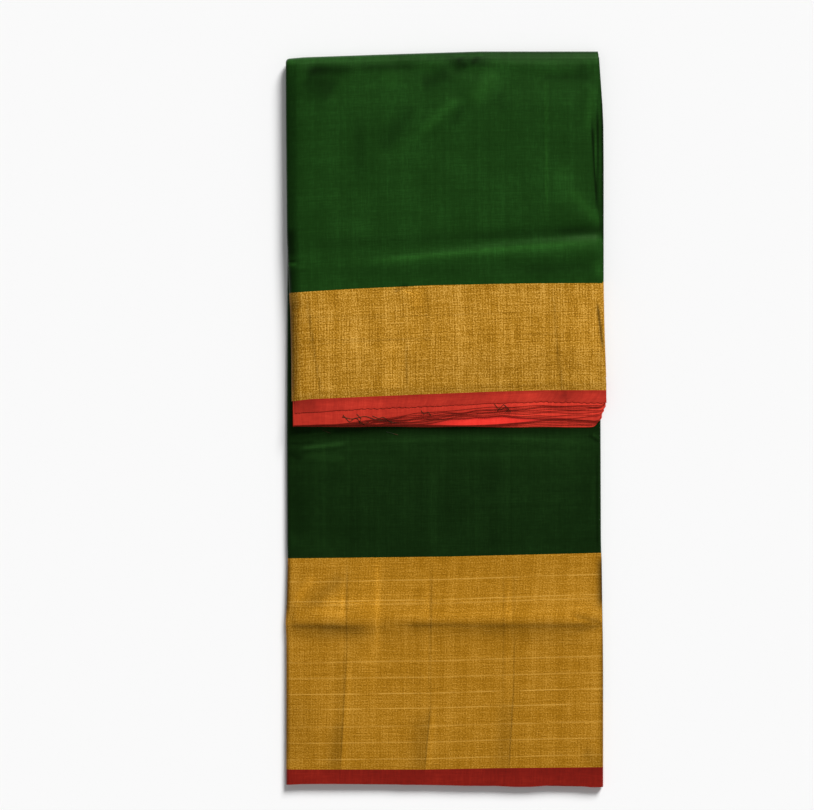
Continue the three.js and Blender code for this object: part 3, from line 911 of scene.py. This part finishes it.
# %% Silk
def silk(name, dark, main, light, gleam, gleam_level):
    """Plain woven silk. Gleam is the colour of the light that its dyed fibres throw back."""
    material, tree, shader = new_material(name)
    warp = threads(tree, STREAK_LENGTH, STREAK, 1)
    weft = threads(tree, STREAK, STREAK_LENGTH, 1)
    long_weft = threads(tree, 4.1667, 250)
    long_warp = threads(tree, 250, 4.1667)
    patches = threads(tree, 45.455, 45.455, 3)
    colour = blend_patterns(
        tree, (warp, 0.3), (weft, 0.3), (long_weft, 0.3), (long_warp, 0.25), (patches, 0.5)
    )
    steps = colour_steps(tree, colour, dark, main, light, 0.25, 0.75)
    tree.links.new(marked(tree, steps), shader.inputs["Base Color"])
    relief = blend_patterns(tree, (warp, 0.5), (weft, 0.5), (long_weft, 0.3))
    bump = node(tree, "ShaderNodeBump", Strength=0.12, Distance=0.5 * MM, Height=relief)
    tree.links.new(bump.outputs[0], shader.inputs["Normal"])
    shader.inputs["Roughness"].default_value = 0.4
    shader.inputs["Specular IOR Level"].default_value = gleam_level
    shader.inputs["Specular Tint"].default_value = linear(gleam)
    return material


green_silk = silk("mulberry_silk_green", "#102d09", "#16370f", "#1e4617", "#7cc065", 0.26)
# The packet's green: the same silk made darker, as painted shade.
shaded_green_silk = silk("mulberry_silk_green_painted_shade", "#0a1b06", "#0f230a", "#152d0f", "#64a052", 0.22)
red_silk = silk("mulberry_silk_red_selvedge", "#8f2018", "#a72a1e", "#be3828", "#e08070", 0.45)
deep_red_silk = silk("mulberry_silk_red_hem", "#68140f", "#7b1912", "#8f2318", "#c06050", 0.6)
# The lens ply's red: the same silk made brighter, as painted light.
lit_red_silk = silk("mulberry_silk_red_unfaded", "#dd2c24", "#f0372d", "#fb4438", "#ff9080", 0.4)

# The loose ends are single threads: green dye over brown, with a little of both along them, in
# stretches about 8 mm long.
cut_silk, ends_tree, ends_shader = new_material("cut_silk_ends")
on_thread = node(ends_tree, "ShaderNodeTexCoord").outputs["Object"]
tint = node(ends_tree, "ShaderNodeTexNoise", Vector=on_thread, Scale=120.0, Detail=1.0)
two_dyes = colour_steps(ends_tree, tint, "#0b1706", "#18280a", "#4a2d11", 0.3, 0.7)
ends_tree.links.new(two_dyes, ends_shader.inputs["Base Color"])
ends_shader.inputs["Roughness"].default_value = 0.55
ends_shader.inputs["Specular IOR Level"].default_value = 0.2
print("silks:", ", ".join(sorted(m.name for m in bpy.data.materials if "silk" in m.name)))

# %% [markdown]
# Zari is a silk core wrapped in gilt strip. Woven close, it makes a metallic cloth with a visible
# cross weave, a fine speckle where the strip turns, and now and then a paler thread right across. It
# is partly metallic, because silk shows between the gilt. Its threads, a fifth of a millimetre apart,
# are drawn as ribs 3 mm apart. The odd threads stand at uneven places, so each is a narrow step on a
# ramp that runs up the border, and noise breaks them.


# %% Zari
def stray_threads(tree, length, places, width=0.7 * MM, slope=0.009, waver=1.6 * MM):
    """1 on single threads that cross the border at some places up its length, and 0 between them."""
    weave = node(tree, "ShaderNodeUVMap", {"uv_map": "cloth"})
    along, up, _ = node(tree, "ShaderNodeSeparateXYZ", in0=weave).outputs
    wander = threads(tree, 142.86, 1000, 1)
    level = node(tree, "ShaderNodeMath", MULTIPLY_ADD, in0=along, in1=-slope, in2=up)
    level = node(tree, "ShaderNodeMath", MULTIPLY_ADD, in0=wander, in1=waver, in2=level)
    share = node(tree, "ShaderNodeMath", {"operation": "DIVIDE"}, in0=level, in1=length)
    ramp = node(tree, "ShaderNodeValToRGB", Fac=share)
    steps = ramp.color_ramp.elements
    steps[0].position, steps[0].color = 0.0, (0, 0, 0, 1)
    steps[1].position, steps[1].color = 1.0, (0, 0, 0, 1)
    for place in places:
        for shift, value in ((-width, 0), (0, 1), (width, 0)):
            step = steps.new(min(max((place + shift) / length, 0.001), 0.999))
            step.color = (value, value, value, 1)
    broken = threads(tree, 35.714, 2.5)
    kept = node(tree, "ShaderNodeMapRange", {"clamp": True}, Value=broken, From_Min=0.34, From_Max=0.52)
    return node(tree, "ShaderNodeMath", MULTIPLY, in0=ramp, in1=kept)


def zari(name, dark, main, light, length, weft_share, pale=(), deep=()):
    """Gilt weave. pale and deep are the places of odd lighter and darker threads up the border."""
    material, tree, shader = new_material(name)
    speckle = threads(tree, 1.3889, 1.3889, 0)
    warp = threads(tree, 25, 1.7857, 1)
    weft = threads(tree, 1.7857, 25, 1)
    warp_ribs = ribs(tree, True, 2.9, 14)
    weft_ribs = ribs(tree, False, 3.1, 10)
    bands = threads(tree, 11.111, 333.33)
    lines = threads(tree, 200, 3.8462)
    patches = threads(tree, 41.667, 41.667, 3)
    finer = (speckle, 0.9), (warp, 0.42), (weft, weft_share)
    cross = blend_patterns(tree, *finer, (warp_ribs, 0.08), (weft_ribs, weft_share / 4))
    pattern = blend_patterns(tree, (cross, 1.0), (bands, 0.4), (lines, 0.22), (patches, 0.24))
    colour = colour_steps(tree, pattern, dark, main, light, 0.22, 0.8)
    for places, thread_colour, strength in ((pale, "#f4bd58", 0.75), (deep, "#6a4206", 0.35)):
        if places:
            stray = stray_threads(tree, length, places)
            share = node(tree, "ShaderNodeMath", MULTIPLY, in0=stray, in1=strength)
            colour = node(
                tree, "ShaderNodeMixRGB", Fac=share, Color1=colour, Color2=linear(thread_colour)
            )
    tree.links.new(marked(tree, colour), shader.inputs["Base Color"])
    bump = node(tree, "ShaderNodeBump", Strength=0.4, Distance=0.6 * MM, Height=cross)
    tree.links.new(bump.outputs[0], shader.inputs["Normal"])
    shader.inputs["Metallic"].default_value = 0.4
    shader.inputs["Roughness"].default_value = 0.42
    shader.inputs["Specular Tint"].default_value = linear("#e8b64a")
    return material


PACKET_GOLD_LENGTH = 0.2325
FLAP_GOLD_LENGTH = 0.1175
packet_gold = zari(
    "zari_gilt_weave_packet", "#99660f", "#b27b1b", "#d09838",
    PACKET_GOLD_LENGTH,
    0.34,
    pale=(0.008, 0.0266, 0.044, 0.0637, 0.080, 0.0975, 0.115, 0.1785, 0.1827, 0.2045),
)
flap_gold_weave = zari(
    "zari_gilt_weave_flap", "#92610e", "#be8724", "#ecb553",
    FLAP_GOLD_LENGTH,
    0.5,
    deep=(0.060, 0.0845),
)
print("materials:", ", ".join(sorted(m.name for m in bpy.data.materials)))

# %% [markdown]
# The outer layer is one sheet all round: over the face that shows, round the left nose and back
# underneath. On the faces that show its columns stand 2.3 mm apart, which is enough for the soft
# creases, and 0.7 mm apart beside the pressed lines and the sides. Underneath, where it is flat, they
# are further apart.

# %% Columns of the outer layer
UNDER_COLUMNS = 44
UNDER_LIP = (0.0, 0.02, 0.04)


def face_columns(close_lines, step=2.3, close_step=0.7):
    """Shares of the way across a face, evenly spaced, and closer near some lines and their reach."""
    places = np.arange(-HALF_WIDTH, HALF_WIDTH, step)
    for at, reach in close_lines:
        close = np.arange(at - reach, at + reach, close_step)
        places = np.concatenate([places[np.abs(places - at) > reach], close])
    shares = (np.sort(places) + HALF_WIDTH) / (2 * HALF_WIDTH)
    return np.concatenate([[0], shares[(shares > 0.001) & (shares < 0.999)], [1]])


FLAP_FACE = face_columns([(-170, 4), (109.2, 2), (168, 6)])
LOWER_FACE = face_columns([(-170, 4), (-111.5, 5), (-19, 5), (63, 2), (72, 4.5), (169, 4)])


def flap_columns(ply):
    return FLAP_FACE if ply == 15 else UNDER_LIP


def lower_columns(ply):
    if ply == 0:
        return LOWER_FACE
    return UNDER_COLUMNS if ply == 15 else (0.9, 0.95, 1.0)


flap_path = strip_path((15, 0), flap_columns)[::-1]
lower_path = strip_path((15, 0, 7), lower_columns)
print("stations across the flap", len(flap_path), "and all round the packet", len(lower_path))

# %% [markdown]
# The cloth's colours change where its border was woven in, so each woven stretch is a piece. The
# flap's green goes on round the top fold, and its red ends in the selvedge, which is the strip's own
# woven edge.

# %% Outer layer of the flap
flap_field, flap_field_size = fold_cloth(
    "flap_green", fine_rows("flap", flap_gold, turn_start) + fold_rows(14), flap_path, green_silk
)
flap_border, flap_border_size = fold_cloth(
    "flap_gold_border", fine_rows("flap", flap_red, flap_gold), flap_path, flap_gold_weave
)


def looped_selvedge(x):
    """The outer selvedge, uneven where the weft loops back."""
    return SELVEDGE_LINES[0](x) + 0.5 * np.sin(2.2 * x) * np.sin(0.37 * x + 1) - 0.3 * np.sin(0.9 * x)


flap_selvedge, flap_selvedge_size = fold_cloth(
    "flap_red_selvedge",
    rows_between("flap", looped_selvedge, flap_red, 14),
    strip_path((15,), flap_columns)[::-1],
    red_silk,
)

# %% [markdown]
# The packet's outer layer goes all round it, with the flat underside that the saree rests on. Its
# green has fine rows as far as it shows, up to the flap's hem, and coarser ones under the flap.

# %% Outer layer of the packet
flap_hem = SELVEDGE_LINES[5]
lower_field, lower_field_size = fold_cloth(
    "packet_green",
    fine_rows("lower", lower_gold, flap_hem) + rows_between("lower", flap_hem, turn_start, 50)[1:],
    lower_path,
    shaded_green_silk,
)
lower_border, lower_border_size = fold_cloth(
    "packet_gold_border", fine_rows("lower", lower_red, lower_gold), lower_path, packet_gold
)
lower_selvedge, lower_selvedge_size = fold_cloth(
    "packet_red_selvedge", rows_between("lower", lower_hem, lower_red, 12), lower_path, deep_red_silk
)

# %% [markdown]
# Behind the flap's own selvedge the other fifteen step back, three to a piece. Each ply has a line
# of its own, a little wavy, and the plies splay apart towards their ends, so that thin dark gaps open
# between them. One ply stands out in a lens, where those above it draw back, and it is painted
# brightest, as painted light, with painted shade on it beyond the lens. At the right their corners
# are round.

# %% Lines of the inner selvedges
# For each ply: how far it draws back towards the layer above, its wave and the wave's length.
PLY_LINES = {
    14: (0.36, 0.4, 61), 13: (0.16, 0.5, 37), 12: (0.0, 0.6, 83),
    11: (0.72, 0.7, 47), 10: (0.42, 0.5, 71), 9: (0.0, 0.6, 53),
    8: (0.66, 0.6, 39), 7: (0.3, 0.7, 57), 6: (0.0, 0.5, 91),
    5: (0.08, 0.3, 97), 4: (0.2, 0.4, 43), 3: (0.0, 0.4, 67),
    2: (0.75, 0.4, 51), 1: (0.45, 0.4, 73), 0: (0.0, 0.3, 89),
}
LENS_PLY = 5
LENS_AT, LENS_REACH = 44, 55
CORNER = 9
# Where a ply is pulled down or up a little: the place, its half width and the pull.
PLY_PULLS = {
    14: [(52, 12, 0.9), (-34, 9, 0.8)],
    13: [(20, 16, -1.3), (122, 14, 0.9)],
    12: [(55, 9, 1.4), (88, 12, -0.9)],
    11: [(34, 10, -1.0), (128, 18, -0.7)],
    10: [(72, 13, 1.1), (-6, 14, -0.9)],
    9: [(104, 12, 1.0), (44, 12, -0.8)],
    8: [(12, 12, 0.9), (140, 10, -0.7), (104, 22, -0.9)],
    7: [(50, 44, 1.9), (118, 36, -1.9)],
    5: [(122, 44, 3.0), (36, 40, -0.8)],
    4: [(128, 44, 2.1)],
    3: [(20, 26, -0.5), (134, 40, 1.2)],
    2: [(84, 16, 0.6)],
    1: [(-24, 22, 0.5)],
}
# How much paler or darker each ply is painted than the next, as painted light and shade between the
# plies.
PLY_PAINTED_LIGHT = {
    14: 0.2, 13: 0.1, 12: 0.24, 11: 0.05, 10: 0.45, 9: 0.0, 8: 0.4,
    7: 0.05, 6: -0.1, 4: 0.1, 3: 0.5, 2: 0.1, 1: 0.5, 0: 0.1,
}


def lens(x):
    """1 along the open lens between two plies, falling to 0 at its pointed ends."""
    return np.exp(-(((x - LENS_AT) / LENS_REACH) ** 4))


def fan_line(ply, order, x):
    """The line of one ply's selvedge."""
    above, own = SELVEDGE_LINES[order - 1](x), SELVEDGE_LINES[order](x)
    share, wave, length = PLY_LINES[ply]
    share = share * (0.1 + 0.9 * fade(x + 110, 120))
    waver = wave * np.sin(x / length * 6.28 + 2.1 * ply) * fade(x + 165, 80)
    line = own + share * (above - own) + waver
    if ply == LENS_PLY + 1:
        closed = fan_line(LENS_PLY, order + 1, x) + 0.6
        line = closed + (own + 3.2 - closed) * lens(x)
    for at, reach, pull in PLY_PULLS.get(ply, ()):
        line = line + pull * bell(x - at, reach)
    corner = np.clip((x - SELVEDGE_RIGHTS[order] + CORNER) / CORNER, 0, 1.2)
    return line + 5.5 * corner**3


print("the outermost inner selvedge at the middle is at y", round(float(fan_line(14, 1, 0.0)), 1), "mm")

# %% [markdown]
# Each ply of the fan is a sheet of its own, from its selvedge to where it goes in behind the gold.
# The sheets are thinner than the outer layer, so that they lie apart, and three are joined to a piece.

# %% Inner selvedges
# The wall in millimetres, and how many stations and rows a ply has.
FAN_WALL = 0.22
FAN_COLUMNS = 150
FAN_ROWS = 26


def fan_ply(ply, order):
    """One ply of the fan, from its selvedge to where it goes in behind the gold."""
    stagger = ply % 3
    left_inset = 1.2 + 0.3 * stagger
    right_inset = FLAP_RIGHT[0] - SELVEDGE_RIGHTS[order] + 0.35 * stagger
    path = [
        (s, (1 - s) * left_inset - s * right_inset, ply_height(ply), ply)
        for s in np.linspace(0, 1, FAN_COLUMNS)
    ]

    # Painted light and shade on one ply: the lens ply darker beyond its lens, the others each in their
    # own painted light, paler towards the right where the splay's shade falls.
    def ply_light(x):
        if ply == LENS_PLY:
            return 0.7 * lens(x) - 0.7
        return PLY_PAINTED_LIGHT[ply] + 0.42 * fade(x + 40, 140)

    material = lit_red_silk if ply == LENS_PLY else red_silk
    rows = rows_between("flap", lambda x: fan_line(ply, order, x), lambda x: TAIL_END + 0 * x, FAN_ROWS)
    return fold_cloth(f"fan_ply_{ply}", rows, path, material, FAN_WALL, ply_light=ply_light)


def join_pieces(pieces, name):
    """Joins pieces of one material or more into the first."""
    bpy.ops.object.select_all(action="DESELECT")
    for piece in pieces:
        piece.select_set(True)
    bpy.context.view_layer.objects.active = pieces[0]
    bpy.ops.object.join()
    pieces[0].name = name
    return pieces[0]


inner_selvedges = []
for order in range(1, 6):
    plies = [15 - 3 * (order - 1) - k for k in (1, 2, 3)]
    made = [fan_ply(ply, order) for ply in plies]
    flat = (made[0][1][0], sum(size[1] for _, size in made))
    inner_selvedges.append((join_pieces([piece for piece, _ in made], f"red_selvedge_{order}"), flat))
print("inner selvedges:", ", ".join(piece.name for piece, _ in inner_selvedges))

# %% [markdown]
# The hidden plies are one long strip that goes to and fro through the packet, just as it was folded.
# At the right side its turns are the four lips, and at the left side it lies nested in the nose.


# %% Hidden layers
HIDDEN_GOLD_START = -300
HIDDEN_COLUMNS = (0, 0.01, 0.03, 0.12, 0.35, 0.6, 0.82, 0.94, 0.965, 0.972, 0.979, 0.986, 0.993, 1.0)


def tail_start(x):
    """Where the hidden plies begin, behind the gold, just above the ends of the fan's plies."""
    return TAIL_END + GAP + 0 * x


def hidden_zone(row):
    """The woven stretch that a row of the hidden plies lies in: 0 green, 1 gold, 2 red."""
    part, start, end, s = row
    if part == "turn":
        return 0
    y = float(start(0.0) + s * (end(0.0) - start(0.0)))
    if part == "flap":
        return 1 if y < flap_gold(0.0) else 0
    if y < lower_red(0.0):
        return 2
    return 1 if y < HIDDEN_GOLD_START else 0


hidden_path = strip_path(STRIP_ORDER[2:], lambda ply: HIDDEN_COLUMNS)
hidden_layers, hidden_size = fold_cloth(
    "hidden_layers",
    rows_between("flap", tail_start, turn_start, 48)
    + fold_rows(12)
    + rows_between("lower", turn_start, lower_red, 56)
    + rows_between("lower", lower_red, lower_hem, 4)[1:],
    hidden_path,
    green_silk,
    zones=hidden_zone,
)
for other in (flap_gold_weave, red_silk):
    hidden_layers.data.materials.append(other)

# %% [markdown]
# A few cut ends of green and brown weft have come loose at the selvedges and lie on them, as they do
# on cloth straight from the loom. Each runs softly through a few points, and its height comes from the
# ply or the packet that it lies on.

# %% Where the loose threads lie
THREAD_RADIUS = 0.26
THREAD_SIDES = 6
LOOSE_THREADS = [
    [(-113, 3), (-102, 0.5), (-88, 4), (-74, -1), (-59, -2)],
    [(-112, 5), (-105, -3), (-98, 2.5), (-91, -5), (-84, -3)],
    [(-97, 6), (-92, 1), (-95, -4), (-88, -6)],
    [(-80, 4), (-73, 1), (-68, 3), (-61, -3), (-50, -4)],
    [(-27, 10), (-24, 6), (-19, 8.5), (-16, 4)],
    [(53, 17), (59, 10), (66, 14.5), (71, 8)],
    [(56, 9), (63, 17), (69, 11), (65, 8)],
    [(-135, -11.5), (-131, -13), (-126, -15)],
    [(-65, -13.5), (-59, -15), (-52, -17)],
]


def lying_height(x, y):
    """The height of the cloth that shows at a point beside the flap's selvedges."""
    if y > looped_selvedge(x):
        ply = 15
    else:
        showing = [ply for ply in range(14, -1, -1) if y > fan_line(ply, 5 - ply // 3, x)]
        if not showing:
            return THICK - ply_height(0) + lower_swell(x, y) + CLOTH_SHELL / 2
        ply = showing[0]
    h = ply_height(ply)
    return flap_height(x, y, h, loose_share("flap", h)) + CLOTH_SHELL / 2


def smooth_line(points, count):
    """Even points along a soft line through some points."""
    places = np.array(points, float)
    steps = np.linspace(0, len(points) - 1, count)
    line = np.stack([np.interp(steps, np.arange(len(points)), places[:, k]) for k in (0, 1)], axis=1)
    for _ in range(3):
        line[1:-1] = (line[:-2] + line[1:-1] * 2 + line[2:]) / 4
    return line


print("the first thread starts", round(float(lying_height(*LOOSE_THREADS[0][0])), 1), "mm up")

# %% [markdown]
# Each thread starts as a small disc, which is extruded from point to point. A curve with a bevel
# would do too, but the extruded mesh needs no conversion. The matrix of a ring turns the disc square
# to the thread, with its sides towards the cloth's own left and up.

# %% Loose threads
CLOTH_UP = Vector((0, 0, 1))


def ring_matrix(line, heights, k):
    """The place and turn of a thread's ring at its point k."""
    ahead = line[min(k + 1, len(line) - 1)] - line[max(k - 1, 0)]
    ahead = Vector((*ahead, 0)).normalized()
    side = Vector((-ahead.y, ahead.x, 0))
    turned = Matrix((-CLOTH_UP, side, ahead)).transposed().to_4x4()
    return Matrix.Translation(Vector((*line[k], heights[k])) * MM) @ turned


threads_mesh = bmesh.new()
for points in LOOSE_THREADS:
    line = smooth_line(points, 8 * len(points))
    heights = np.array([float(lying_height(x, y)) for x, y in line]) + THREAD_RADIUS
    heights = np.maximum(heights, np.maximum(np.roll(heights, 1), np.roll(heights, -1)))
    rings = [ring_matrix(line, heights, k) for k in range(len(line))]
    disc = bmesh.ops.create_circle(
        threads_mesh, cap_ends=True, segments=THREAD_SIDES, radius=THREAD_RADIUS * MM, matrix=rings[0]
    )
    end = disc["verts"][0].link_faces[0]
    for here, there in zip(rings, rings[1:]):
        # With its edges and corners given too, the old end goes and leaves no wall inside the thread.
        grown = bmesh.ops.extrude_face_region(threads_mesh, geom=[end, *end.edges, *end.verts])["geom"]
        end = next(part for part in grown if isinstance(part, bmesh.types.BMFace))
        bmesh.ops.transform(threads_mesh, matrix=there @ here.inverted(), verts=end.verts[:])
bmesh.ops.recalc_face_normals(threads_mesh, faces=threads_mesh.faces)
print("the threads are closed:", all(edge.is_manifold for edge in threads_mesh.edges))
loose_mesh = bpy.data.meshes.new("loose_threads")
threads_mesh.to_mesh(loose_mesh)
threads_mesh.free()
loose_mesh.materials.append(cut_silk)
loose_mesh.shade_smooth()
loose_threads = bpy.data.objects.new("loose_threads", loose_mesh)
scene.collection.objects.link(loose_threads)
print("loose threads:", len(LOOSE_THREADS), "with", len(loose_mesh.polygons), "faces")

# %% [markdown]
# Each piece now rides on the one body there is and stands for its solids, which are hidden.


# %% Join the pieces to the frame
def declare(piece, node_name):
    """Attaches one sheet to the one body there is and hides the solid that it stands for."""
    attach(piece, "root")
    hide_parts(node_name)


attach(loose_threads, "root")
declare(lower_field, "lower_field")
declare(lower_border, "lower_border")
declare(lower_selvedge, "lower_selvedge")
declare(hidden_layers, "inner_layers")
declare(flap_field, "flap_field")
declare(flap_border, "flap_border")
declare(flap_selvedge, "flap_selvedge")
for order, (piece, flat) in enumerate(inner_selvedges, start=1):
    declare(piece, f"inner_selvedge_{order}")
joined = [piece.name for piece in scene.objects if piece.type == "MESH" and piece.modifiers]
print("sheets joined to the frame:", ", ".join(joined))
